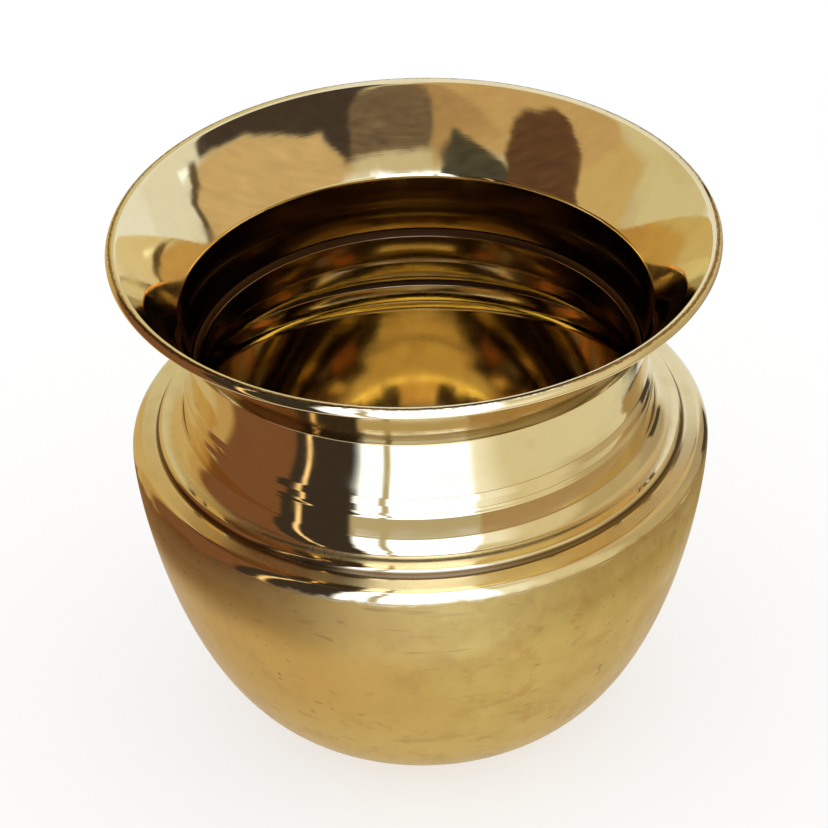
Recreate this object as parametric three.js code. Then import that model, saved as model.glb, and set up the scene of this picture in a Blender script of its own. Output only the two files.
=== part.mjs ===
// A lota: a small brass water pot with a flared mouth, a short neck, a stepped shoulder and a round bowl.
// It is built from sheet, as three spun shells: the bowl, the shoulder and the neck.
// The top edge of the bowl and of the shoulder is set in by one sheet thickness, as a spigot.
// The shell above slides over the spigot and stands on the ledge round it.
// A fillet of braze inside the pot closes each seam.
// The frame is in millimetres, with +Z up the pot's axis and the origin in the middle of the base, on the floor.

import * as THREE from "three";

// The sheet, and how the shells meet.
const wall = 1.0;
const lapClearance = 0.1;
const spigotHeight = 3.0;
const brazeHeight = 1.0;

// The bowl, from the floor up to its widest circle. The two powers set how full its side is.
const bellyRadius = 54.9;
const bellyHeight = 58.3;
const bellySeamDrop = 4.3;
const sidePower = 1.44;
const heelPower = 2.45;

// The base: a flat standing ring round a shallow dish, so that the pot doesn't rock.
const standRadius = 22.0;
const standWidth = 7.0;
const dishSlopeWidth = 3.0;
const dishDepth = 0.8;

// The shoulder, from the widest circle up and in: a rolled edge, a shelf, then two terraces of riser and tread.
const edgeWidth = 1.6;
const edgeRise = 2.7;
const shelfWidth = 3.5;
const shelfRise = 0.6;
const lowerRiser = 1.4;
const lowerTreadWidth = 4.9;
const lowerTreadRise = 2.9;
const upperRiser = 4.6;
const upperRiserLean = 0.4;
const upperTreadWidth = 0.6;
const upperTreadRise = 2.6;

// How far along and how far up a tread its hollow is drawn in: more along than up makes it concave.
const hollowAlong = 0.8;
const hollowUp = 0.15;

// The neck stands on the upper tread, and the mouth flares from its throat.
const skirtFlare = 0.5;
const skirtHeight = 1.2;
const neckHeight = 14.7;
const throatWidening = 1.9;
const neckSlope = 78;
const flareHeight = 15.6;
const mouthRadius = 57.0;
const flareStartSlope = 57;
const flareEndSlope = 51;

// The lip is the edge of the sheet turned over outwards and pressed down.
const hemGap = 0.2;
const hemLength = 0.6;

// Facets round the axis, and along the curves of the profile.
const turnFacets = 60;
const sideFacets = 13;
const neckFacets = 4;
const flareFacets = 5;
const treadFacets = 3;
const edgeFacets = 3;
const hemFacets = 4;

// Places that several pieces share.
const bellySeamHeight = bellyHeight - bellySeamDrop;
const shelfRadius = bellyRadius - edgeWidth;
const lowerCrestRadius = shelfRadius - shelfWidth;
const upperRiserFootRadius = lowerCrestRadius - lowerTreadWidth;
const upperCrestRadius = upperRiserFootRadius - upperRiserLean;
const neckSeamRadius = upperCrestRadius - upperTreadWidth;
const shelfHeight = bellyHeight + edgeRise;
const lowerRiserFootHeight = shelfHeight + shelfRise;
const lowerCrestHeight = lowerRiserFootHeight + lowerRiser;
const upperRiserFootHeight = lowerCrestHeight + lowerTreadRise;
const upperCrestHeight = upperRiserFootHeight + upperRiser;
const neckSeamHeight = upperCrestHeight + upperTreadRise;
const waistRadius = neckSeamRadius - skirtFlare;
const bellySkirtInside = sideRadius(bellySeamHeight) - wall;
const neckSkirtInside = waistRadius - wall;

// A point of a profile: its distance from the axis and its height.
function point(radius, height) {
  return new THREE.Vector2(radius, height);
}

// A direction in the profile, up and away from the axis at a slope in degrees.
function direction(slope) {
  const angle = THREE.MathUtils.degToRad(slope);
  return point(Math.cos(angle), Math.sin(angle));
}

// The outside of the bowl's side: it stands upright at the widest circle and lies flat at the standing ring.
function sideRadius(height) {
  const drop = (bellyHeight - height) / bellyHeight;
  return standRadius + (bellyRadius - standRadius) * (1 - drop ** sidePower) ** (1 / heelPower);
}

// The outside of the side from a low height to a high one, with the steps closer together towards the floor.
function sideOutline(low, high, facets) {
  const points = [];
  for (let i = 0; i <= facets; i += 1) {
    const height = low + (high - low) * (1 - Math.cos((i / facets) * Math.PI / 2));
    points.push(point(sideRadius(height), height));
  }
  return points;
}

// A tread from its crest up to its inner end, hollowed between them.
function treadOutline(crest, end) {
  const hollow = point(
    THREE.MathUtils.lerp(crest.x, end.x, hollowAlong),
    THREE.MathUtils.lerp(crest.y, end.y, hollowUp),
  );
  return new THREE.QuadraticBezierCurve(crest, hollow, end).getPoints(treadFacets);
}

// A smooth curve between two points that leaves the first at one slope and reaches the second at another.
function sweepOutline(start, startSlope, end, endSlope, facets) {
  const handle = start.distanceTo(end) / 3;
  const first = start.clone().addScaledVector(direction(startSlope), handle);
  const second = end.clone().addScaledVector(direction(endSlope), -handle);
  return new THREE.CubicBezierCurve(start, first, second, end).getPoints(facets);
}

// The inner face of a sheet whose outer face runs upwards: every edge moves in by the sheet's thickness.
function innerFace(outer) {
  const normals = [];
  for (let i = 1; i < outer.length; i += 1) {
    const along = outer[i].clone().sub(outer[i - 1]).normalize();
    normals.push(point(-along.y, along.x));
  }
  return outer.map((corner, i) => {
    const below = normals[Math.max(i - 1, 0)];
    const above = normals[Math.min(i, normals.length - 1)];
    const share = wall / (1 + below.dot(above));
    return corner.clone().addScaledVector(below.clone().add(above), share);
  });
}

// The set-in top edge of a shell, from the inner end of its ledge, over the spigot, to the inner face below it.
function spigotOutline(skirtInside, ledgeHeight) {
  const outside = skirtInside - lapClearance;
  const inside = outside - wall;
  const top = ledgeHeight + spigotHeight;
  return [
    point(outside, ledgeHeight),
    point(outside, top),
    point(inside, top),
    point(inside, ledgeHeight - wall),
  ];
}

// A ring of braze on top of a spigot, sloping from the skirt round it down to the spigot's inner face.
function brazeOutline(skirtInside) {
  const outside = skirtInside - lapClearance;
  return [point(outside - wall, 0), point(outside, 0), point(outside, brazeHeight)];
}

// The bowl: the underside from the middle out, the side, the spigot, and the inside back to the middle.
function bowlOutline() {
  const standInner = standRadius - standWidth;
  const dishRadius = standInner - dishSlopeWidth;
  const outer = [
    point(dishRadius, dishDepth),
    point(standInner, 0),
    ...sideOutline(0, bellySeamHeight, sideFacets),
  ];
  const spigot = spigotOutline(bellySkirtInside, bellySeamHeight);
  const inner = innerFace(outer).slice(0, -1).reverse();
  return [point(0, dishDepth), ...outer, ...spigot, ...inner, point(0, dishDepth + wall)];
}

// The shoulder, in heights above the belly seam: skirt, rolled edge, shelf, two terraces, and the neck's spigot.
function shoulderOutline() {
  const widest = point(bellyRadius, bellyHeight);
  const shelf = point(shelfRadius, shelfHeight);
  const edge = new THREE.QuadraticBezierCurve(widest, point(bellyRadius, shelfHeight), shelf);
  const lowerCrest = point(lowerCrestRadius, lowerCrestHeight);
  const upperFoot = point(upperRiserFootRadius, upperRiserFootHeight);
  const upperCrest = point(upperCrestRadius, upperCrestHeight);
  const outer = [
    point(sideRadius(bellySeamHeight), bellySeamHeight),
    ...edge.getPoints(edgeFacets),
    point(lowerCrestRadius, lowerRiserFootHeight),
    ...treadOutline(lowerCrest, upperFoot),
    ...treadOutline(upperCrest, point(neckSeamRadius, neckSeamHeight)),
  ];
  const spigot = spigotOutline(neckSkirtInside, neckSeamHeight);
  const inner = innerFace(outer).slice(1, -1).reverse();
  const foot = point(bellySkirtInside, bellySeamHeight);
  return [...outer, ...spigot, ...inner, foot].map((corner) => point(corner.x, corner.y - bellySeamHeight));
}

// The neck, in heights above its seam: skirt, neck, flare, and the sheet turned over at the lip.
function neckOutline() {
  const hemRadius = wall + hemGap / 2;
  const mouthHeight = neckHeight + flareHeight - hemRadius;
  const centre = point(mouthRadius - hemRadius, mouthHeight);
  const up = direction(flareEndSlope);
  const inward = point(-up.y, up.x);
  const waist = point(waistRadius, skirtHeight);
  const throat = point(waist.x + throatWidening, neckHeight);
  const fold = centre.clone().addScaledVector(inward, hemGap / 2);
  const outer = [
    ...sweepOutline(waist, 90, throat, neckSlope, neckFacets),
    ...sweepOutline(throat, flareStartSlope, fold, flareEndSlope, flareFacets).slice(1),
  ];
  const skirt = [point(neckSkirtInside, 0), point(neckSeamRadius, 0)];
  const hem = [
    centre.clone().addScaledVector(inward, -hemGap / 2),
    centre.clone().addScaledVector(inward, -hemGap / 2).addScaledVector(up, -hemLength),
    centre.clone().addScaledVector(inward, -hemRadius).addScaledVector(up, -hemLength),
  ];
  const startAngle = Math.atan2(-inward.y, -inward.x);
  for (let i = 0; i <= hemFacets; i += 1) {
    const angle = startAngle + (i / hemFacets) * Math.PI;
    hem.push(point(centre.x + hemRadius * Math.cos(angle), centre.y + hemRadius * Math.sin(angle)));
  }
  return [...skirt, ...outer, ...hem, ...innerFace(outer).slice(0, -1).reverse()];
}

// Turns a closed profile about the axis. A profile that doesn't touch the axis is closed on itself.
function turned(outline) {
  const open = outline[0].x > 0;
  const profile = open ? [...outline, outline[0].clone()] : outline;
  const geometry = new THREE.LatheGeometry(profile, turnFacets);
  geometry.rotateX(Math.PI / 2);
  return geometry;
}

// Polished brass, as on the shoulder, the neck and the mouth.
function polishedBrass() {
  return new THREE.MeshStandardMaterial({ color: 0xd9b869, roughness: 0.08, metalness: 1.0 });
}

// Brass with the soft sheen of fine emery, as on the bowl.
function satinBrass() {
  return new THREE.MeshStandardMaterial({ color: 0xc8a75f, roughness: 0.35, metalness: 1.0 });
}

// Brazing spelter, paler and duller than the sheet.
function spelter() {
  return new THREE.MeshStandardMaterial({ color: 0xbf9a5a, roughness: 0.5, metalness: 1.0 });
}

function piece(name, outline, material, height) {
  const mesh = new THREE.Mesh(turned(outline), material);
  mesh.name = name;
  mesh.position.z = height;
  return mesh;
}

// The lower shell stands on the floor, and each piece above is placed at the seam that it stands on.
const lota = new THREE.Group();
lota.add(piece("bowl", bowlOutline(), satinBrass(), 0));
lota.add(piece("belly_braze", brazeOutline(bellySkirtInside), spelter(), bellySeamHeight + spigotHeight));
lota.add(piece("shoulder", shoulderOutline(), polishedBrass(), bellySeamHeight));
lota.add(piece("neck_braze", brazeOutline(neckSkirtInside), spelter(), neckSeamHeight + spigotHeight));
lota.add(piece("neck", neckOutline(), polishedBrass(), neckSeamHeight));

export default lota;
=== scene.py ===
"""A brass lota, dressed: three spun shells and two braze rings with their finishes, and a small studio.

Profiles are in millimetres, as (distance from the axis, height above the floor). Meshes are in metres.
"""

import math
from types import SimpleNamespace

import bpy
from mathutils import Matrix, Vector, noise as waves


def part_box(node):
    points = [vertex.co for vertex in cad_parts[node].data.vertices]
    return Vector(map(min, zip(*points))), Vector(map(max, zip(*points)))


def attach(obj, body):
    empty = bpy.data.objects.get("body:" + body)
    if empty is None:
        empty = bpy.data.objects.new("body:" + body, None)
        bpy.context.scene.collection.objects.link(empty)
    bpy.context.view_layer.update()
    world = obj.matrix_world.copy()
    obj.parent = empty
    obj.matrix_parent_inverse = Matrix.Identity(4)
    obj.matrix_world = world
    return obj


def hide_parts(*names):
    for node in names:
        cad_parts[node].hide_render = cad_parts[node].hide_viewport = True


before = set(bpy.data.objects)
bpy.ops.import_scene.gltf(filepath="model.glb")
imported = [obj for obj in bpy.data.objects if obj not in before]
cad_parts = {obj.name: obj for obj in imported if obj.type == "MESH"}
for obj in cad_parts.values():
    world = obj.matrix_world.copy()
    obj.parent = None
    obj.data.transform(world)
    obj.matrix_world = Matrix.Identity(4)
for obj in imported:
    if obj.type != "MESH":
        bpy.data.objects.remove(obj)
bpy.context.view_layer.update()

MM = 0.001

# How finely the shells are turned and their curves drawn.
TURN_STEPS = 288
SIDE_STEPS = 90
SKIRT_STEPS = 10
NECK_STEPS = 24
FLARE_STEPS = 40
HEM_STEPS = 24
BRAZE_STEPS = 8
ARC_STEPS = 8
INNER_ARC_STEPS = 10
THROAT_ARC_STEPS = 12
OUTER_ARC_STEPS = 24
ON_AXIS = 1e-6
SHARP_ANGLE = 40.0

# The sheet and its lap seams. A cut is how many points of a curve make way for what comes next to it.
WALL = 1.0
LAP = 0.1
SPIGOT = 3.0
SPIGOT_OUTER_ROUNDING = 0.2
SPIGOT_INNER_ROUNDING = 0.3
SPIGOT_FOOT_ROUNDING = 0.8
SPIGOT_FOOT_RUN = 2.0
SPIGOT_FOOT_FALL = 1.0
SPIGOT_DROP = 1.8
SPIGOT_CUT = 2
BRAZE = 1.0

# The main sizes come from the parts in model.glb.
BELLY_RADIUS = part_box("shoulder")[1].x / MM
BELLY_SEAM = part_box("shoulder")[0].z / MM
NECK_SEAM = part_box("neck")[0].z / MM
MOUTH_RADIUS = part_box("neck")[1].x / MM
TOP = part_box("neck")[1].z / MM

# The bowl: a rounded side from the widest circle down to the standing ring, and a shallow dish inside that.
BELLY_HEIGHT = 58.3
SIDE_POWER = 1.44
HEEL_POWER = 2.45
STAND_RADIUS = 22.0
STAND_WIDTH = 7.0
STAND_ROUNDING = 2.0
DISH_RADIUS = 12.0
DISH_DEPTH = 0.8
DISH_ROUNDING = 3.0
BOWL_INSIDE_DROP = 2.5

# The shoulder's skirt follows the side up to just under the widest circle.
SKIRT_STOP = 0.1

# The shoulder's corners, each with its rounding.
BELLY_EDGE = (BELLY_RADIUS, 61.0, 2.4)
SHELF_FOOT = (49.8, 61.7, 0.5)
LOWER_CREST = (49.8, 63.15, 0.8)
TREAD_HOLLOW = (44.95, 63.4, 3.6)
UPPER_CREST = (44.42, 70.75, 0.45)
UPPER_HOLLOW = (43.9, 71.25, 0.9)
NECK_SEAM_RADIUS = 43.9

# The same corners on its inner side.
INNER_BELLY = (BELLY_RADIUS - WALL, BELLY_HEIGHT, 4.0)
INNER_BELLY_EDGE = (BELLY_RADIUS - WALL, 60.0, 1.6)
INNER_SHELF_FOOT = (LOWER_CREST[0] - WALL, 60.8, 0.8)
INNER_LOWER_CREST = (LOWER_CREST[0] - WALL, 62.2, 0.5)
INNER_TREAD_HOLLOW = (TREAD_HOLLOW[0] - WALL, 62.4, 4.5)
INNER_UPPER_CREST = (UPPER_CREST[0] - WALL - 0.1, 68.6, 0.6)
INNER_SPIGOT_FOOT = (UPPER_CREST[0] - WALL - 0.6, NECK_SEAM - WALL - SPIGOT_DROP - 0.4)

# The neck and the mouth.
WAIST = (43.4, 74.3)
WAIST_SLOPE = 90.0
WAIST_ROUNDING = 1.2
WAIST_CUT = 3
THROAT = (45.3, 87.8)
NECK_SLOPE = 78.0
THROAT_ROUNDING = 1.6
THROAT_CUT = 3
FLARE_START = 57.0
FLARE_END = 51.0
HEM_GAP = 0.2
HEM_LENGTH = 0.6
HEM_RADIUS = WALL + HEM_GAP / 2
NECK_INSIDE_START = 1.0


# Profiles.

def point(radius, height):
    return Vector((radius, height))


def direction(slope):
    angle = math.radians(slope)
    return point(math.cos(angle), math.sin(angle))


def sweep(start, start_slope, end, end_slope, steps):
    """Points of a smooth curve that leaves the start at one slope and reaches the end at another."""
    reach = (end - start).length / 3
    first = start + direction(start_slope) * reach
    second = end - direction(end_slope) * reach
    points = []
    for i in range(steps + 1):
        t = i / steps
        s = 1 - t
        points.append(start * s ** 3 + first * 3 * s * s * t + second * 3 * s * t * t + end * t ** 3)
    return points


def rounded(corners, steps=ARC_STEPS):
    """A line through corners given as (radius, height, rounding), with an arc in place of each corner."""
    line = []
    last = len(corners) - 1
    for i, corner in enumerate(corners):
        here = point(corner[0], corner[1])
        rounding = corner[2] if len(corner) > 2 else 0.0
        if i in (0, last) or rounding <= 0.0:
            line.append(here)
            continue
        before = (point(*corners[i - 1][:2]) - here).normalized()
        after = (point(*corners[i + 1][:2]) - here).normalized()
        half = before.angle(after) / 2
        first = here + before * (rounding / math.tan(half))
        second = here + after * (rounding / math.tan(half))
        centre = here + (before + after).normalized() * (rounding / math.sin(half))
        start = math.atan2(first.y - centre.y, first.x - centre.x)
        turn = math.atan2(second.y - centre.y, second.x - centre.x) - start
        turn = (turn + math.pi) % (2 * math.pi) - math.pi
        for k in range(steps + 1):
            angle = start + turn * k / steps
            line.append(centre + point(math.cos(angle), math.sin(angle)) * rounding)
    return line


def inner_side(line):
    """The inner face of a sheet whose outer face runs upwards."""
    moved = []
    last = len(line) - 1
    for i, here in enumerate(line):
        forward = (line[min(i + 1, last)] - line[max(i - 1, 0)]).normalized()
        moved.append(here + point(-forward.y, forward.x) * WALL)
    return moved


def side_radius(height):
    """How wide the outside of the bowl is at a height."""
    drop = (BELLY_HEIGHT - height) / BELLY_HEIGHT
    fullness = (1 - drop ** SIDE_POWER) ** (1 / HEEL_POWER)
    return STAND_RADIUS + (BELLY_RADIUS - STAND_RADIUS) * fullness


def spigot(skirt_inside, ledge, drop=0.0):
    """The set-in top edge of a shell, from the inner end of its ledge to the inner face below it.

    The drop is how much further down the spigot's inner face runs before the sheet turns out again.
    """
    outside = skirt_inside - LAP
    inside = outside - WALL
    top = ledge + SPIGOT
    return rounded([
        (outside, ledge),
        (outside, top, SPIGOT_OUTER_ROUNDING),
        (inside, top, SPIGOT_INNER_ROUNDING),
        (inside, ledge - WALL - drop, SPIGOT_FOOT_ROUNDING),
        (inside + SPIGOT_FOOT_RUN, ledge - WALL - drop - SPIGOT_FOOT_FALL),
    ])[:-1]


def bowl_profile():
    side = []
    for i in range(SIDE_STEPS + 1):
        height = BELLY_SEAM * (1 - math.cos(i / SIDE_STEPS * math.pi / 2))
        side.append(point(side_radius(height), height))
    under = rounded([
        (0.0, DISH_DEPTH),
        (DISH_RADIUS, DISH_DEPTH, DISH_ROUNDING),
        (STAND_RADIUS - STAND_WIDTH, 0.0, STAND_ROUNDING),
        (STAND_RADIUS, 0.0),
    ])
    outer = under[:-1] + side
    inside = [p for p in inner_side(outer) if p.y < BELLY_SEAM - BOWL_INSIDE_DROP]
    inside[0].x = 0.0
    return outer + spigot(side_radius(BELLY_SEAM) - WALL, BELLY_SEAM) + inside[::-1]


def shoulder_profile():
    skirt = []
    for i in range(SKIRT_STEPS + 1):
        height = BELLY_SEAM + (BELLY_HEIGHT - SKIRT_STOP - BELLY_SEAM) * i / SKIRT_STEPS
        skirt.append((side_radius(height), height))
    corners = [BELLY_EDGE, SHELF_FOOT, LOWER_CREST, TREAD_HOLLOW, UPPER_CREST, UPPER_HOLLOW]
    outer = rounded(skirt + corners + [(NECK_SEAM_RADIUS, NECK_SEAM)], OUTER_ARC_STEPS)
    inner_line = rounded([
        (side_radius(BELLY_SEAM) - WALL, BELLY_SEAM),
        INNER_BELLY,
        INNER_BELLY_EDGE,
        INNER_SHELF_FOOT,
        INNER_LOWER_CREST,
        INNER_TREAD_HOLLOW,
        INNER_UPPER_CREST,
        INNER_SPIGOT_FOOT,
    ], INNER_ARC_STEPS)
    return outer + spigot(WAIST[0] - WALL, NECK_SEAM, SPIGOT_DROP)[:-SPIGOT_CUT] + inner_line[::-1]


def neck_profile():
    centre = point(MOUTH_RADIUS - HEM_RADIUS, TOP - HEM_RADIUS)
    up = direction(FLARE_END)
    inward = point(-up.y, up.x)
    fold = centre + inward * (HEM_GAP / 2)
    neck = sweep(point(*WAIST), WAIST_SLOPE, point(*THROAT), NECK_SLOPE, NECK_STEPS)
    flare = sweep(point(*THROAT), FLARE_START, fold, FLARE_END, FLARE_STEPS)
    throat = rounded([
        tuple(neck[-1 - THROAT_CUT]),
        (*THROAT, THROAT_ROUNDING),
        tuple(flare[THROAT_CUT]),
    ], THROAT_ARC_STEPS)
    skirt = rounded([
        (WAIST[0] - WALL, NECK_SEAM),
        (NECK_SEAM_RADIUS, NECK_SEAM),
        (*WAIST, WAIST_ROUNDING),
        tuple(neck[WAIST_CUT]),
    ])
    outer = skirt[1:-1] + neck[WAIST_CUT:-THROAT_CUT - 1] + throat + flare[THROAT_CUT + 1:]
    hem = [
        centre - inward * (HEM_GAP / 2),
        centre - inward * (HEM_GAP / 2) - up * HEM_LENGTH,
        centre - inward * HEM_RADIUS - up * HEM_LENGTH,
    ]
    start = math.atan2(-inward.y, -inward.x)
    for i in range(HEM_STEPS + 1):
        angle = start + i / HEM_STEPS * math.pi
        hem.append(centre + point(math.cos(angle), math.sin(angle)) * HEM_RADIUS)
    inside = [p for p in inner_side(outer[1:])[:-1] if p.y > NECK_SEAM + NECK_INSIDE_START]
    return outer + hem + inside[::-1] + [skirt[0]]


def braze_profile(skirt_inside, floor):
    """A fillet of braze on top of a spigot, with a hollow face."""
    outside = skirt_inside - LAP
    face = [point(outside, floor)]
    for i in range(1, BRAZE_STEPS + 1):
        angle = i / BRAZE_STEPS * math.pi / 2
        face.append(point(outside - WALL * math.cos(angle), floor + BRAZE * math.sin(angle) ** 2))
    return face


# Meshes.

def turned(name, profile):
    """A closed mesh turned from a profile about the upright axis. Points on the axis become poles."""
    rings = []
    vertices = []
    for p in profile:
        if p.x < ON_AXIS:
            rings.append([len(vertices)] * TURN_STEPS)
            vertices.append((0.0, 0.0, p.y * MM))
            continue
        rings.append(list(range(len(vertices), len(vertices) + TURN_STEPS)))
        for i in range(TURN_STEPS):
            angle = i / TURN_STEPS * 2 * math.pi
            vertices.append((p.x * MM * math.cos(angle), p.x * MM * math.sin(angle), p.y * MM))
    if profile[0].x >= ON_AXIS:
        rings.append(rings[0])
    faces = []
    for low, high in zip(rings, rings[1:]):
        for i in range(TURN_STEPS):
            j = (i + 1) % TURN_STEPS
            corners = [low[i], low[j], high[j], high[i]]
            face = list(dict.fromkeys(corners))
            if len(face) > 2:
                faces.append(face)
    mesh = bpy.data.meshes.new(name)
    mesh.from_pydata(vertices, [], faces)
    mesh.polygons.foreach_set("use_smooth", [True] * len(mesh.polygons))
    mesh.set_sharp_from_angle(angle=math.radians(SHARP_ANGLE))
    mesh.update()
    piece = bpy.data.objects.new(name, mesh)
    bpy.context.scene.collection.objects.link(piece)
    return piece


def dress(name, profile, node, material):
    piece = turned(name, profile)
    piece.data.materials.append(material)
    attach(piece, "root")
    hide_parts(node)


# Building blocks for materials.

def node(tree, kind, inputs, **settings):
    """A node with its settings. Each input is a value or another node's output."""
    new = tree.nodes.new("ShaderNode" + kind)
    for name, value in settings.items():
        setattr(new, name, value)
    for key, value in inputs.items():
        if isinstance(value, bpy.types.NodeSocket):
            tree.links.new(value, new.inputs[key])
        else:
            new.inputs[key].default_value = value
    return new


def maths(tree, operation, first, second=0.0, third=0.0):
    return node(tree, "Math", {0: first, 1: second, 2: third}, operation=operation).outputs[0]


def product(tree, first, second):
    return maths(tree, "MULTIPLY", first, second)


def rise(tree, value, low, high, start=0.0, end=1.0):
    """Goes smoothly from start to end while the value goes from low to high."""
    inputs = {"Value": value, "From Min": low, "From Max": high, "To Min": start, "To Max": end}
    return node(tree, "MapRange", inputs, interpolation_type="SMOOTHSTEP").outputs["Result"]


def fall(tree, value, low, high):
    """Goes smoothly from 1 to 0 while the value goes from low to high."""
    return rise(tree, value, low, high, 1.0, 0.0)


def slant(tree, value, low, high, start, end):
    """Goes straight from start to end while the value goes from low to high."""
    inputs = {"Value": value, "From Min": low, "From Max": high, "To Min": start, "To Max": end}
    return node(tree, "MapRange", inputs).outputs["Result"]


def near(tree, value, middle, half, fade):
    """1 within half of the middle, falling to 0 over the fade beyond it."""
    away = maths(tree, "ABSOLUTE", maths(tree, "SUBTRACT", value, middle))
    return fall(tree, away, half, half + fade)


def ring(tree, radius, height, spans):
    """1 on a ring round the axis. Its spans, of radius and height, are a middle, a half width and a fade."""
    return product(tree, near(tree, radius, *spans[0]), near(tree, height, *spans[1]))


def noise(tree, place, scale, detail, roughness):
    inputs = {"Vector": place, "Scale": scale, "Detail": detail, "Roughness": roughness}
    return node(tree, "TexNoise", inputs).outputs["Fac"]


def streaked(tree, place, turn, stretch):
    """The place turned and squeezed, so that a pattern on it becomes streaks."""
    return node(tree, "Mapping", {0: place, 2: turn, 3: stretch}).outputs[0]


def blend(tree, share, below, above):
    """A colour mixed from two."""
    return node(tree, "Mix", {0: share, 6: below, 7: above}, data_type="RGBA").outputs[2]


def bumped(tree, shader, relief):
    """Gives a shader's surface a relief, in metres."""
    bump = node(tree, "Bump", {"Strength": 1.0, "Distance": 1.0, "Height": relief})
    tree.links.new(bump.outputs[0], shader.inputs["Normal"])


def rgb(red, green, blue):
    return (red, green, blue, 1.0)


# Where the finishes change, in metres: distances from the axis, heights and depths.
SATIN_EDGE = (0.0588, 0.0600)
EDGE_WANDER = 0.003
INSIDE_TOP = (0.0855, 0.0885)
TURNED_INWARD = (-0.002, 0.002)
NECK_SPIGOT_RADIUS = 0.0427
NECK_SPIGOT_ABOVE = 0.06
BELLY_SPIGOT_RADIUS = 0.0537
BELLY_SPIGOT_MIDDLE = 0.0555
BELLY_SPIGOT_HALF = (0.003, 0.0031)
TARNISH_RISE = (0.055, 0.071)
SATIN_TOP = (0.040, 0.055)
# The side of the satin on which a warm reflection is painted.
PAINTED_REFLECTION_SIDE = (-0.030, 0.014)
# Where the lip's line lies: painted shade in the groove of the hem.
LIP_LINE_RADIUS = 0.0562
LIP_LINE_ABOVE = 0.101
LIP_LINE_TEETH = 0.0006

# Narrow hollows that reflect themselves, each as the two spans of a ring, in metres. They are made rougher,
# and the riser's foot also gets a painted shade.
RISER_FOOT = ((0.04995, 0.0002, 0.0004), (0.0621, 0.0004, 0.0005))
LOWER_TREAD = ((0.0474, 0.0006, 0.0008), (0.0633, 0.0003, 0.0003))
SHELF = ((0.0518, 0.0007, 0.0007), (0.0614, 0.0003, 0.0003))

# Patterns, each with its scale in waves per metre, its detail and its roughness.
TURNING = (900.0, 3.0, 0.6)
SWELL = (60.0, 1.0, 0.45)
SMUDGES = (120.0, 3.0, 0.62)
WIPING = (1400.0, 1.0, 0.6)
BLOTCHES = (38.0, 4.0, 0.65)
MOTTLE = (150.0, 5.0, 0.72)
MARKS = (130.0, 2.0, 0.5)
SCRATCHES = (120.0, 1.0, 0.5)
SPECKS = (420.0, 1.0, 0.5)
TEETH = (900.0, 1.0, 0.5)
GRAIN = (2500.0, 4.0, 0.6)
PATCHES = (300.0, 3.0, 0.6)
PATTERN_MIDDLE = 0.5

# Patterns that run one way: how far their place is turned, in radians, and squeezed.
WIPING_RUN = ((0.5, 0.3, 0.9), (1.0, 1.0, 0.12))
MARKS_RUN = ((0.2, 0.9, 0.4), (0.25, 3.0, 3.0))
SCRATCHES_RUN = ((0.0, -0.7, 0.3), (0.3, 6.0, 6.0))

# How each one shows: two values of the pattern or the place, and the shares there if they aren't 0 and 1.
SMEAR_SHOWS = (0.45, 0.75)
BROWNED_SMUDGE_SHOWS = (0.35, 0.65)
SATIN_SMUDGE_SHOWS = (0.3, 0.7)
# Painted light on the bowl near the floor, lighter towards the bottom.
PAINTED_LIGHT_FOOT_SHOWS = (0.010, 0.034, 0.6, 0.0)
BLOTCH_SHOWS = (0.56, 0.72)
BLOTCH_SHARE = 0.55
MOTTLE_SHOWS = (0.5, 0.68, 0.0, 0.75)
MARKS_SHOW = (0.64, 0.74, 0.0, 0.4)
SCRATCHES_SHOW = (0.69, 0.76, 0.0, 0.6)
SPECKS_SHOW = (0.765, 0.81, 0.0, 0.7)
LIP_LINE_SHOWS = (0.00012, 0.00035, 0.85, 0.0)

# How deep the relief goes, in metres, and how quickly the turning lines change along their length.
SWELL_OUTSIDE = 0.00005
SWELL_INSIDE = 0.000015
TURNING_DEPTH = 0.000004
WIPING_DEPTH = 0.0000006
GRAIN_DEPTH = 0.00006
TURNING_DRIFT = 0.0012

# The roughness of each finish, and what marks and places add to it.
# The spelter's goes from 0.3 to 0.6 while its grain goes from 0.2 to 0.8.
BRIGHT_ROUGHNESS = 0.045
SMEAR_ROUGHER = 0.06
TARNISH_ROUGHER = 0.04
INSIDE_ROUGHER = 0.01
HOLLOW_ROUGHER = 0.2
SATIN_ROUGHNESS = 0.24
SATIN_SMUDGE_ROUGHER = 0.12
SATIN_TOP_ROUGHER = 0.26
SPELTER_ROUGHNESS = (0.2, 0.8, 0.3, 0.6)
TURNED_ANISOTROPY = 0.4

# The colours of the metal.
BRIGHT = rgb(0.91, 0.75, 0.43)
BRIGHT_SMEARED = rgb(0.86, 0.69, 0.38)
# Painted shade for the corner at the foot of the riser, not a colour of the brass.
BRIGHT_PAINTED_CORNER_SHADE = rgb(0.22, 0.14, 0.06)
# Painted shade for the groove of the lip's hem.
LIP_LINE_PAINTED_SHADE = rgb(0.24, 0.15, 0.065)
BROWNED = rgb(0.58, 0.46, 0.25)
BROWNED_SMUDGED = rgb(0.53, 0.40, 0.21)
TARNISHED = rgb(0.32, 0.22, 0.13)
SATIN = rgb(0.59, 0.415, 0.125)
SATIN_SMUDGED = rgb(0.53, 0.355, 0.10)
# Painted warm reflection of the surroundings on one side of the bowl.
SATIN_PAINTED_WARM_REFLECTION = rgb(0.565, 0.34, 0.09)
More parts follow.
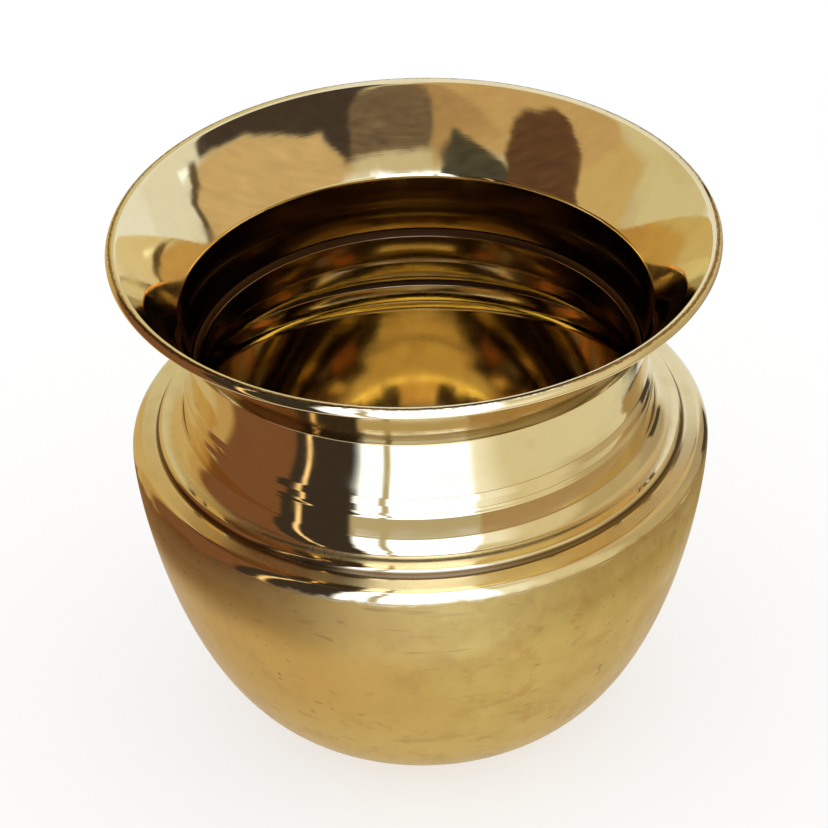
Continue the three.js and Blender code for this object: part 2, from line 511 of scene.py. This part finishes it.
# Painted light for the foot of the bowl, not a colour of the brass.
SATIN_PAINTED_LIGHT = rgb(0.67, 0.49, 0.16)
SATIN_BLOTCHED = rgb(0.47, 0.29, 0.085)
SATIN_MOTTLED = rgb(0.50, 0.30, 0.085)
SATIN_MARKED = rgb(0.40, 0.25, 0.08)
SATIN_SCRATCHED = rgb(0.34, 0.21, 0.08)
SATIN_SPECKED = rgb(0.22, 0.13, 0.05)
SPELTER = rgb(0.07, 0.033, 0.012)
SPELTER_DARK = rgb(0.045, 0.021, 0.008)

# The colours that the metal tends to where it is seen at a low angle.
BRIGHT_LOW = rgb(1.0, 1.0, 1.0)
SATIN_LOW = rgb(0.85, 0.79, 0.67)
SPELTER_LOW = rgb(0.17, 0.095, 0.05)


# Materials.

def spigot_faces(tree, radius, z):
    """1 on the two spigots, also on their tops and on their outer faces in the skirts."""
    in_neck = maths(tree, "LESS_THAN", radius, NECK_SPIGOT_RADIUS)
    neck_spigot = product(tree, in_neck, maths(tree, "GREATER_THAN", z, NECK_SPIGOT_ABOVE))
    in_belly = maths(tree, "LESS_THAN", radius, BELLY_SPIGOT_RADIUS)
    away = maths(tree, "ABSOLUTE", maths(tree, "SUBTRACT", z, BELLY_SPIGOT_MIDDLE))
    belly_spigot = product(tree, in_belly, fall(tree, away, *BELLY_SPIGOT_HALF))
    return maths(tree, "MAXIMUM", neck_spigot, belly_spigot)


def read_sheet(tree):
    """What the finishes depend on: the place on the sheet, its smudges, and how far it lies in each zone.

    Satin lies outside, below the edge of the belly. The inside, below the throat, is browned.
    """
    coordinates = node(tree, "TexCoord", {}).outputs
    place = coordinates["Object"]
    x, y, z = node(tree, "SeparateXYZ", {0: place}).outputs
    radius = maths(tree, "SQRT", maths(tree, "ADD", product(tree, x, x), product(tree, y, y)))
    facing = node(tree, "VectorMath", {0: coordinates["Normal"], 1: place}, operation="DOT_PRODUCT")
    smudge = noise(tree, place, *SMUDGES)
    wander = product(tree, maths(tree, "SUBTRACT", smudge, PATTERN_MIDDLE), EDGE_WANDER)
    height = maths(tree, "ADD", z, wander)
    inward = fall(tree, facing.outputs["Value"], *TURNED_INWARD)
    inward = maths(tree, "MAXIMUM", inward, spigot_faces(tree, radius, z))
    inside = product(tree, fall(tree, z, *INSIDE_TOP), inward)
    outside = maths(tree, "SUBTRACT", 1.0, inside)
    return SimpleNamespace(
        place=place,
        x=x,
        z=z,
        radius=radius,
        angle=maths(tree, "ARCTAN2", x, product(tree, y, -1.0)),
        smudge=smudge,
        smear=rise(tree, smudge, *SMEAR_SHOWS),
        inside=inside,
        tarnish=product(tree, inside, rise(tree, height, *TARNISH_RISE)),
        satin=product(tree, fall(tree, height, *SATIN_EDGE), outside),
        riser_foot=ring(tree, radius, z, RISER_FOOT),
    )


def sheet_roughness(tree, sheet):
    tread = ring(tree, sheet.radius, sheet.z, LOWER_TREAD)
    shelf = ring(tree, sheet.radius, sheet.z, SHELF)
    hollow = maths(tree, "MAXIMUM", sheet.riser_foot, maths(tree, "MAXIMUM", tread, shelf))
    bright = maths(tree, "MULTIPLY_ADD", sheet.smear, SMEAR_ROUGHER, BRIGHT_ROUGHNESS)
    bright = maths(tree, "MULTIPLY_ADD", sheet.tarnish, TARNISH_ROUGHER, bright)
    bright = maths(tree, "MULTIPLY_ADD", sheet.inside, INSIDE_ROUGHER, bright)
    bright = maths(tree, "MULTIPLY_ADD", hollow, HOLLOW_ROUGHER, bright)
    dull = maths(tree, "MULTIPLY_ADD", sheet.smudge, SATIN_SMUDGE_ROUGHER, SATIN_ROUGHNESS)
    near_top = rise(tree, sheet.z, *SATIN_TOP)
    dull = maths(tree, "MULTIPLY_ADD", near_top, SATIN_TOP_ROUGHER, dull)
    bright_share = product(tree, bright, maths(tree, "SUBTRACT", 1.0, sheet.satin))
    return maths(tree, "ADD", bright_share, product(tree, dull, sheet.satin))


def bright_colour(tree, sheet):
    """Polished outside and in the mouth, browned inside, with painted shade in the corner at the riser's
    foot and dark painted shade along a serrated line in the lip's groove.
    """
    colour = blend(tree, sheet.smear, BRIGHT, BRIGHT_SMEARED)
    # Painted shade in the corner at the foot of the lower riser.
    colour = blend(tree, sheet.riser_foot, colour, BRIGHT_PAINTED_CORNER_SHADE)
    browned = blend(tree, rise(tree, sheet.smudge, *BROWNED_SMUDGE_SHOWS), BROWNED, BROWNED_SMUDGED)
    browned = blend(tree, sheet.tarnish, browned, TARNISHED)
    colour = blend(tree, sheet.inside, colour, browned)
    # A dark serrated line painted along the lip's groove as its shade.
    teeth = noise(tree, sheet.place, *TEETH)
    teeth = maths(tree, "MULTIPLY_ADD", teeth, LIP_LINE_TEETH, -LIP_LINE_TEETH / 2)
    serrated = maths(tree, "ADD", sheet.radius, teeth)
    away = maths(tree, "ABSOLUTE", maths(tree, "SUBTRACT", serrated, LIP_LINE_RADIUS))
    line = rise(tree, away, *LIP_LINE_SHOWS)
    line = product(tree, line, maths(tree, "GREATER_THAN", sheet.z, LIP_LINE_ABOVE))
    return blend(tree, line, colour, LIP_LINE_PAINTED_SHADE)


def satin_colour(tree, sheet):
    """With a painted warm reflection towards one side and painted light towards the foot, and blotched,
    mottled, marked, scratched and specked.
    """
    place = sheet.place
    across = streaked(tree, place, *MARKS_RUN)
    aslant = streaked(tree, place, *SCRATCHES_RUN)
    blotches = rise(tree, noise(tree, place, *BLOTCHES), *BLOTCH_SHOWS)
    layers = [
        # Painted warm reflection towards one side.
        (fall(tree, sheet.x, *PAINTED_REFLECTION_SIDE), SATIN_PAINTED_WARM_REFLECTION),
        # Painted light, lighter towards the foot.
        (rise(tree, sheet.z, *PAINTED_LIGHT_FOOT_SHOWS), SATIN_PAINTED_LIGHT),
        (product(tree, blotches, BLOTCH_SHARE), SATIN_BLOTCHED),
        (rise(tree, noise(tree, place, *MOTTLE), *MOTTLE_SHOWS), SATIN_MOTTLED),
        (rise(tree, noise(tree, across, *MARKS), *MARKS_SHOW), SATIN_MARKED),
        (rise(tree, noise(tree, aslant, *SCRATCHES), *SCRATCHES_SHOW), SATIN_SCRATCHED),
        (rise(tree, noise(tree, place, *SPECKS), *SPECKS_SHOW), SATIN_SPECKED),
    ]
    colour = blend(tree, rise(tree, sheet.smudge, *SATIN_SMUDGE_SHOWS), SATIN, SATIN_SMUDGED)
    for share, tint in layers:
        colour = blend(tree, share, colour, tint)
    return colour


def sheet_relief(tree, sheet):
    """A slow swell, lines left by turning that run round the axis and fade in and out, and wiping marks."""
    drift = product(tree, sheet.angle, TURNING_DRIFT)
    along = node(tree, "CombineXYZ", {0: sheet.radius, 1: sheet.z, 2: drift}).outputs[0]
    wiped = streaked(tree, sheet.place, *WIPING_RUN)
    swell_depth = slant(tree, sheet.inside, 0.0, 1.0, SWELL_OUTSIDE, SWELL_INSIDE)
    relief = product(tree, noise(tree, sheet.place, *SWELL), swell_depth)
    relief = maths(tree, "MULTIPLY_ADD", noise(tree, along, *TURNING), TURNING_DEPTH, relief)
    return maths(tree, "MULTIPLY_ADD", noise(tree, wiped, *WIPING), WIPING_DEPTH, relief)


def metal(name, low_colour):
    """A new metal with the colour that it tends to where it is seen at a low angle."""
    material = bpy.data.materials.new(name)
    material.use_nodes = True
    shader = material.node_tree.nodes["Principled BSDF"]
    shader.inputs["Metallic"].default_value = 1.0
    shader.inputs["Specular Tint"].default_value = low_colour
    return material, material.node_tree, shader


def brass(name, low_colour):
    """Sheet brass, satin where it lies outside below the edge of the belly, and bright elsewhere."""
    material, tree, shader = metal(name, low_colour)
    sheet = read_sheet(tree)
    colour = blend(tree, sheet.satin, bright_colour(tree, sheet), satin_colour(tree, sheet))
    tangent = node(tree, "Tangent", {}, direction_type="RADIAL", axis="Z").outputs[0]
    tree.links.new(colour, shader.inputs["Base Color"])
    tree.links.new(sheet_roughness(tree, sheet), shader.inputs["Roughness"])
    tree.links.new(tangent, shader.inputs["Tangent"])
    shader.inputs["Anisotropic"].default_value = TURNED_ANISOTROPY
    bumped(tree, shader, sheet_relief(tree, sheet))
    return material


def cast_spelter():
    """Braze as it ran: dull, with a grain."""
    material, tree, shader = metal("spelter", SPELTER_LOW)
    place = node(tree, "TexCoord", {}).outputs["Object"]
    grain = noise(tree, place, *GRAIN)
    colour = blend(tree, noise(tree, place, *PATCHES), SPELTER, SPELTER_DARK)
    tree.links.new(colour, shader.inputs["Base Color"])
    tree.links.new(rise(tree, grain, *SPELTER_ROUGHNESS), shader.inputs["Roughness"])
    bumped(tree, shader, product(tree, grain, GRAIN_DEPTH))
    return material


polished = brass("polished_brass", BRIGHT_LOW)
satin = brass("satin_brass", SATIN_LOW)
spelter = cast_spelter()

belly_fillet = braze_profile(side_radius(BELLY_SEAM) - WALL, BELLY_SEAM + SPIGOT)
neck_fillet = braze_profile(WAIST[0] - WALL, NECK_SEAM + SPIGOT)

dress("bowl_shell", bowl_profile(), "bowl", satin)
dress("shoulder_shell", shoulder_profile(), "shoulder", polished)
dress("neck_shell", neck_profile(), "neck", polished)
dress("belly_braze_ring", belly_fillet, "belly_braze", spelter)
dress("neck_braze_ring", neck_fillet, "neck_braze", spelter)


# The camera. Its distance and the point that it looks at are in millimetres.

CAMERA_ELEVATION = 35.5
CAMERA_ROLL = -2.0
CAMERA_DISTANCE = 712.2
LOOK_AT = (-1.061, 0.0, 62.3)
FOCAL_PIXELS = 3732.6
PICTURE_PIXELS = 828
SENSOR = 36.0


def add_camera():
    data = bpy.data.cameras.new("camera")
    data.sensor_width = SENSOR
    data.lens = FOCAL_PIXELS / PICTURE_PIXELS * SENSOR
    camera = bpy.data.objects.new("camera", data)
    elevation = math.radians(CAMERA_ELEVATION)
    back = Vector((0.0, -math.cos(elevation), math.sin(elevation)))
    right = Vector((1.0, 0.0, 0.0))
    up = back.cross(right)
    roll = math.radians(CAMERA_ROLL)
    side = right * math.cos(roll) + up * math.sin(roll)
    top = up * math.cos(roll) - right * math.sin(roll)
    matrix = Matrix((side, top, back)).transposed().to_4x4()
    matrix.translation = (Vector(LOOK_AT) + back * CAMERA_DISTANCE) * MM
    camera.matrix_world = matrix
    bpy.context.scene.collection.objects.link(camera)
    bpy.context.scene.camera = camera


# The floor, with its half width in metres, and the world.

FLOOR_HALF_WIDTH = 3.0
FLOOR_COLOUR = rgb(0.5, 0.5, 0.5)
FLOOR_ROUGHNESS = 0.9
FLOOR_GLOW = 0.62
WHITE = rgb(1.0, 1.0, 1.0)
WORLD_LIGHT = 0.8
WORLD_SEEN = 1.0


def background_rays(tree):
    """1 for a ray straight from the camera, or by way of a shiny surface or of glass."""
    path = node(tree, "LightPath", {}).outputs
    seen = maths(tree, "MAXIMUM", path["Is Camera Ray"], path["Is Glossy Ray"])
    return maths(tree, "MAXIMUM", seen, path["Is Transmission Ray"])


def add_floor():
    """A pale floor that keeps a soft shadow, and looks white beyond it."""
    mesh = bpy.data.meshes.new("floor")
    half = FLOOR_HALF_WIDTH
    corners = [(-half, -half, 0), (half, -half, 0), (half, half, 0), (-half, half, 0)]
    mesh.from_pydata(corners, [], [(0, 1, 2, 3)])
    floor = bpy.data.objects.new("floor", mesh)
    material = bpy.data.materials.new("floor")
    material.use_nodes = True
    tree = material.node_tree
    shader = tree.nodes["Principled BSDF"]
    shader.inputs["Base Color"].default_value = FLOOR_COLOUR
    shader.inputs["Roughness"].default_value = FLOOR_ROUGHNESS
    shader.inputs["Specular IOR Level"].default_value = 0.0
    shader.inputs["Emission Color"].default_value = WHITE
    glow = product(tree, background_rays(tree), FLOOR_GLOW)
    tree.links.new(glow, shader.inputs["Emission Strength"])
    mesh.materials.append(material)
    bpy.context.scene.collection.objects.link(floor)


def add_world():
    """Even light from all round, on a white background."""
    world = bpy.data.worlds.new("world")
    world.use_nodes = True
    tree = world.node_tree
    strength = slant(tree, background_rays(tree), 0.0, 1.0, WORLD_LIGHT, WORLD_SEEN)
    tree.nodes["Background"].inputs["Color"].default_value = WHITE
    tree.links.new(strength, tree.nodes["Background"].inputs["Strength"])
    bpy.context.scene.world = world


# The tent: a cloth dome that only the shiny metal shows, with a window, curtains and a ceiling.
# Its sizes are in millimetres.
# A panel has a name, a colour, how soft its edges are, how streaky it is, and its corners.
# A corner is in degrees round from the camera's side, and in degrees above the middle of the dome.
# Later panels lie over earlier ones.

TENT_RADIUS = 105.0
TENT_CENTRE = 60.0
TENT_FOOT = 1.0
TENT_STEPS_ROUND = 480
TENT_STEPS_UP = 200
LOW = -60
HIGH = 100

CLOTH = (0.62, 0.58, 0.46)
PANELS = [
    ("back", (0.86, 0.92, 1.05), 8, 0,
     [(150, LOW), (196, LOW), (196, HIGH), (150, HIGH)]),
    ("back_right", (0.66, 0.63, 0.46), 6, 0,
     [(190, LOW), (225, LOW), (225, 64), (190, 64)]),
    ("right_pale", (0.80, 0.84, 0.88), 5, 0,
     [(121, LOW), (152, LOW), (152, HIGH), (126, 62), (129, 45), (121, 25)]),
    ("right_shade", (0.42, 0.36, 0.27), 12, 0,
     [(90, LOW), (121, LOW), (121, 25), (90, 25)]),
    ("right_cream", (0.50, 0.43, 0.28), 16, 0,
     [(57, LOW), (93, LOW), (93, 30), (57, 40)]),
    ("right_near", (0.72, 0.68, 0.52), 16, 0,
     [(12, LOW), (58, LOW), (58, 45), (12, 45)]),
    ("right_low", (0.72, 0.70, 0.56), 6, 0,
     [(18, LOW), (120, LOW), (120, -19), (18, -19)]),
    ("left_tan", (0.60, 0.47, 0.24), 6, 0,
     [(-136, LOW), (-101, LOW), (-101, 66), (-128, 66), (-137, 45), (-129, 30)]),
    ("left_orange", (0.52, 0.355, 0.145), 8, 0,
     [(-108, LOW), (-86, LOW), (-86, 34), (-104, 34)]),
    ("left_maroon", (0.20, 0.092, 0.046), 6, 0,
     [(-90, LOW), (-50, LOW), (-50, 52), (-98, 40)]),
    ("left_curtain", (0.043, 0.034, 0.030), 3, 0,
     [(-55.5, LOW), (-25, LOW), (-25, 60), (-56, 56)]),
    ("curtain_gap", (1.25, 0.92, 0.55), 1.5, 0,
     [(-51.2, -45), (-49.4, -45), (-45.5, 0), (-44, 46), (-46, 46), (-47.5, 0)]),
    ("right_tan", (0.61, 0.47, 0.285), 3, 0.15,
     [(126, 53), (130, 49), (128, 44), (130, 40), (126, 35), (125, 27), (60, 40), (40, 50), (40, 63),
      (57, 66), (70, 69), (95, 66), (113, 62), (120, 58)]),
    ("window_haze", (1.0, 1.05, 1.1), 16, 0,
     [(-10, LOW), (27, LOW), (32, 30), (-10, 30)]),
    ("window", (1.55, 1.85, 2.9), 3, 0,
     [(-26, LOW), (20, LOW), (20, 50), (29, 54), (29, 61), (-21, 62), (-24, 58)]),
    ("window_right", (0.95, 1.05, 1.2), 8, 0,
     [(24, 46), (42, 48), (44, 58), (24, 61)]),
    ("window_low", (1.4, 1.7, 2.5), 8, 0,
     [(-26, LOW), (20, LOW), (20, -20), (-26, -20)]),
    ("right_sill", (0.42, 0.30, 0.17), 2.5, 0,
     [(20, -14), (60, -15.8), (110, -19), (110, -7), (20, -7)]),
    ("window_sill", (0.50, 0.46, 0.34), 2.5, 0,
     [(-27, -13.8), (21, -13.8), (21, -7.5), (-27, -7.5)]),
    ("window_bar", (0.5, 0.46, 0.34), 1.5, 0,
     [(-16, LOW), (-13, LOW), (-13, 50), (-16, 50)]),
    ("ceiling_left", (0.55, 0.40, 0.22), 3, 0.1,
     [(-16, 64), (-16, HIGH), (-136, HIGH), (-136, 62), (-128, 52), (-100, 50), (-62, 62), (-40, 70)]),
    ("ceiling_brown", (0.42, 0.285, 0.155), 12, 0.15,
     [(-10, 70), (-10, HIGH), (-75, HIGH), (-66, 70)]),
    ("ceiling_wedge", (0.07, 0.068, 0.058), 2, 0.5,
     [(-20, 60), (-23, 68), (-37, 73), (-47, 70), (-61, 61), (-70, 50), (-40, 48), (-26, 54)]),
    ("ceiling_patch", (0.115, 0.062, 0.038), 2, 0.35,
     [(-64, 62), (-77, 68), (-92, 71), (-109, 68), (-111, 64), (-107, 56), (-103, 44), (-100, 34),
      (-64, 40), (-61, 50)]),
    ("ceiling_middle", (0.17, 0.13, 0.10), 3, 0.45,
     [(46, 62.5), (34, 66), (7, 68), (-15, 68.5), (-17, 71), (-22, 79), (-48, 92), (60, HIGH), (76, 81),
      (47, 71)]),
    ("ceiling_right", (0.06, 0.046, 0.044), 2, 0.2,
     [(128, 53), (120, 59), (113, 62.5), (95, 66), (69, 69), (57, 66), (46, 63), (43, 65), (47, 72),
      (60, 77), (76, 84), (120, 88), (150, 84), (140, 60)]),
    ("seam", (0.12, 0.09, 0.06), 1.5, 0,
     [(134.5, 51), (130, 45), (132, 40), (128, 35), (127, 27), (123.5, 27), (124.5, 36), (128, 40),
      (126.5, 46), (130, 52)]),
    ("seam_glint", (1.2, 1.4, 1.8), 1.5, 0,
     [(135, 50), (133, 47), (135.5, 45), (137.5, 48)]),
    ("card", (0.06, 0.055, 0.043), 2, 0,
     [(105, -25), (120, -25), (120, 3), (105, 3)]),
]

# What the dome shows to light that has met three or more mirrors in a row, as it does inside the pot:
# the window overhead, and warm cloth on both sides. Below DEEP_START it shows the first light, dimmed.
DEEP_START = 28.0
DEEP_DIMMING = 0.45
DEEP_CLOTH = (0.09, 0.07, 0.06)
DEEP_PANELS = [
    ("window", (4.2, 5.0, 3.8), 5, 0.12,
     [(-93, 56), (-66, 54), (-56, 44), (50, 44), (62, 54), (88, 56), (88, HIGH), (-93, HIGH)]),
    ("zenith", (4.2, 5.0, 3.8), 5, 0.12,
     [(86, 74), (270, 74), (270, HIGH), (86, HIGH)]),
    ("back", (1.9, 1.7, 1.2), 4, 0.12,
     [(163, 49), (197, 49), (197, 80), (163, 80)]),
    ("back_left", (4.5, 4.6, 3.0), 4, 0.12,
     [(131, 56), (148, 56), (148, 72), (131, 72)]),
    ("back_right", (4.5, 4.6, 3.0), 4, 0.12,
     [(212, 56), (229, 56), (229, 72), (212, 72)]),
    ("warm_left", (1.3, 0.72, 0.35), 5, 0,
     [(-124, 36), (-115, 36), (-114, 43), (-97, 43), (-97, 54), (-124, 54)]),
    ("warm_right", (1.4, 0.74, 0.35), 5, 0,
     [(127, 36), (115, 36), (114, 43), (93, 43), (93, 54), (127, 54)]),
    ("pale_left", (0.8, 0.9, 1.1), 3, 0,
     [(-114, 28), (-98, 28), (-98, 40), (-114, 40)]),
    ("pale_right", (0.8, 0.9, 1.1), 3, 0,
     [(98, 28), (113, 28), (113, 40), (98, 40)]),
    ("corner_right", (0.8, 0.95, 1.2), 4, 0,
     [(129, 32), (148, 32), (148, 45), (129, 45)]),
    ("corner_left", (0.8, 0.95, 1.0), 4, 0,
     [(-150, 34), (-129, 34), (-129, 48), (-150, 48)]),
]

# Each streak has its strength, its waves per degree round and up, and a shift that sets it apart.
STREAKS = [(1.0, 0.05, 0.8, 0), (0.6, 0.12, 2.3, 5)]
STREAK_DARKEST = 0.25

# Each ruckle moves a panel's edge by so many degrees, in so many waves over the dome's radius, with a shift.
TURN_RUCKLES = [(2.0, 7.0, 0), (1.2, 19.0, 0)]
HEIGHT_RUCKLES = [(1.2, 8.0, 9), (0.8, 23.0, 0)]
RUCKLE_START = 15.0
RUCKLE_SPAN = 20.0
RUCKLE_LEAST = 0.1

# The mirrors in a row after which the deep light takes over, and over which it is spent.
FIRST_LIGHT_MIRRORS = 2.5
SPENT_FROM = 3.0
SPENT_TO = 5.0
SPENT_LEFT = 0.15


def cover(turn, height, corners, soft):
    """How far a panel covers a direction: 1 well inside its corners, 0 outside, smooth across its edges."""
    if turn < min(c[0] for c in corners) - soft:
        turn += 360.0
    if turn > max(c[0] for c in corners) + soft:
        return 0.0
    if not min(c[1] for c in corners) - soft < height < max(c[1] for c in corners) + soft:
        return 0.0
    inside = False
    nearest = math.inf
    x0, y0 = corners[-1]
    for x1, y1 in corners:
        if (y0 > height) != (y1 > height) and turn < (x1 - x0) * (height - y0) / (y1 - y0) + x0:
            inside = not inside
        along = ((turn - x0) * (x1 - x0) + (height - y0) * (y1 - y0)) / ((x1 - x0) ** 2 + (y1 - y0) ** 2)
        along = min(max(along, 0.0), 1.0)
        away = math.hypot(x0 + along * (x1 - x0) - turn, y0 + along * (y1 - y0) - height)
        nearest = min(nearest, away)
        x0, y0 = x1, y1
    share = 0.5 + (nearest if inside else -nearest) / soft
    share = min(max(share, 0.0), 1.0)
    return share * share * (3 - 2 * share)


def toward(turn, height):
    """The direction of a place on the dome, as a unit vector."""
    across = math.radians(turn)
    up = math.radians(height)
    return Vector((math.cos(up) * math.sin(across), -math.cos(up) * math.cos(across), math.sin(up)))


def streak_at(turn, height):
    total = 0.0
    for strength, pace_round, pace_up, shift in STREAKS:
        total += strength * waves.noise(Vector((turn * pace_round, height * pace_up, shift)))
    return total


def ruckle_at(place, ruckles):
    total = 0.0
    for degrees, pace, shift in ruckles:
        total += degrees * waves.noise(place * pace + Vector((shift, 0, 0)))
    return total


def cloth_colour(turn, height, cloth, panels):
    """The colour of the dome in a direction, with the panels' edges a little ruckled."""
    place = toward(turn, height)
    streak = streak_at(turn, height)
    strength = min(max((height - RUCKLE_START) / RUCKLE_SPAN, RUCKLE_LEAST), 1.0)
    turn += strength * ruckle_at(place, TURN_RUCKLES)
    height += strength * ruckle_at(place, HEIGHT_RUCKLES)
    colour = Vector(cloth)
    for _, shade, soft, streaky, corners in panels:
        share = cover(turn, height, corners, soft)
        if share > 0.0:
            colour = colour.lerp(Vector(shade) * max(1 + streaky * streak, STREAK_DARKEST), share)
    return (*colour, 1.0)


def tent_mesh():
    """The dome as a mesh, cut off at the floor, with both lights as colours of its points."""
    vertices = []
    first_light = []
    deep_light = []
    for j in range(TENT_STEPS_UP + 1):
        height = 180.0 * (j / TENT_STEPS_UP - 0.5)
        for i in range(TENT_STEPS_ROUND):
            turn = 360.0 * i / TENT_STEPS_ROUND - 180.0
            level = math.cos(math.radians(height))
            x = level * math.sin(math.radians(turn)) * TENT_RADIUS
            y = -level * math.cos(math.radians(turn)) * TENT_RADIUS
            z = max(math.sin(math.radians(height)) * TENT_RADIUS, -TENT_CENTRE)
            vertices.append((x * MM, y * MM, z * MM))
            first = cloth_colour(turn, height, CLOTH, PANELS)
            first_light += first
            if height < DEEP_START:
                deep_light += (*(DEEP_DIMMING * part for part in first[:3]), 1.0)
            else:
                deep_light += cloth_colour(turn, height, DEEP_CLOTH, DEEP_PANELS)
    faces = []
    for j in range(TENT_STEPS_UP):
        low = j * TENT_STEPS_ROUND
        high = low + TENT_STEPS_ROUND
        for i in range(TENT_STEPS_ROUND):
            k = (i + 1) % TENT_STEPS_ROUND
            if vertices[high + i][2] > (TENT_FOOT - TENT_CENTRE) * MM:
                faces.append((low + i, low + k, high + k, high + i))
    mesh = bpy.data.meshes.new("tent")
    mesh.from_pydata(vertices, [], faces)
    for name, light in (("first_light", first_light), ("deep_light", deep_light)):
        mesh.color_attributes.new(name, "FLOAT_COLOR", "POINT")
        mesh.color_attributes[name].data.foreach_set("color", light)
    mesh.polygons.foreach_set("use_smooth", [True] * len(mesh.polygons))
    return mesh


def tent_material():
    """Shows the first light, or the deep light to rays that have met three mirrors or more."""
    material = bpy.data.materials.new("tent")
    material.use_nodes = True
    tree = material.node_tree
    tree.nodes.remove(tree.nodes["Principled BSDF"])
    first = node(tree, "VertexColor", {}, layer_name="first_light").outputs["Color"]
    deep = node(tree, "VertexColor", {}, layer_name="deep_light").outputs["Color"]
    mirrors = node(tree, "LightPath", {}).outputs["Glossy Depth"]
    gone_deep = maths(tree, "GREATER_THAN", mirrors, FIRST_LIGHT_MIRRORS)
    spent = slant(tree, mirrors, SPENT_FROM, SPENT_TO, 1.0, SPENT_LEFT)
    glow = node(tree, "Emission", {"Color": blend(tree, gone_deep, first, deep), "Strength": spent})
    tree.links.new(glow.outputs[0], tree.nodes["Material Output"].inputs["Surface"])
    return material


def add_tent():
    tent = bpy.data.objects.new("tent", tent_mesh())
    tent.data.materials.append(tent_material())
    tent.location = (0.0, 0.0, TENT_CENTRE * MM)
    tent.visible_camera = False
    tent.visible_diffuse = False
    tent.visible_transmission = False
    tent.visible_shadow = False
    tent.visible_volume_scatter = False
    bpy.context.scene.collection.objects.link(tent)


add_camera()
add_floor()
add_world()
add_tent()
bpy.context.scene.view_settings.view_transform = "Standard"

bpy.context.view_layer.update()
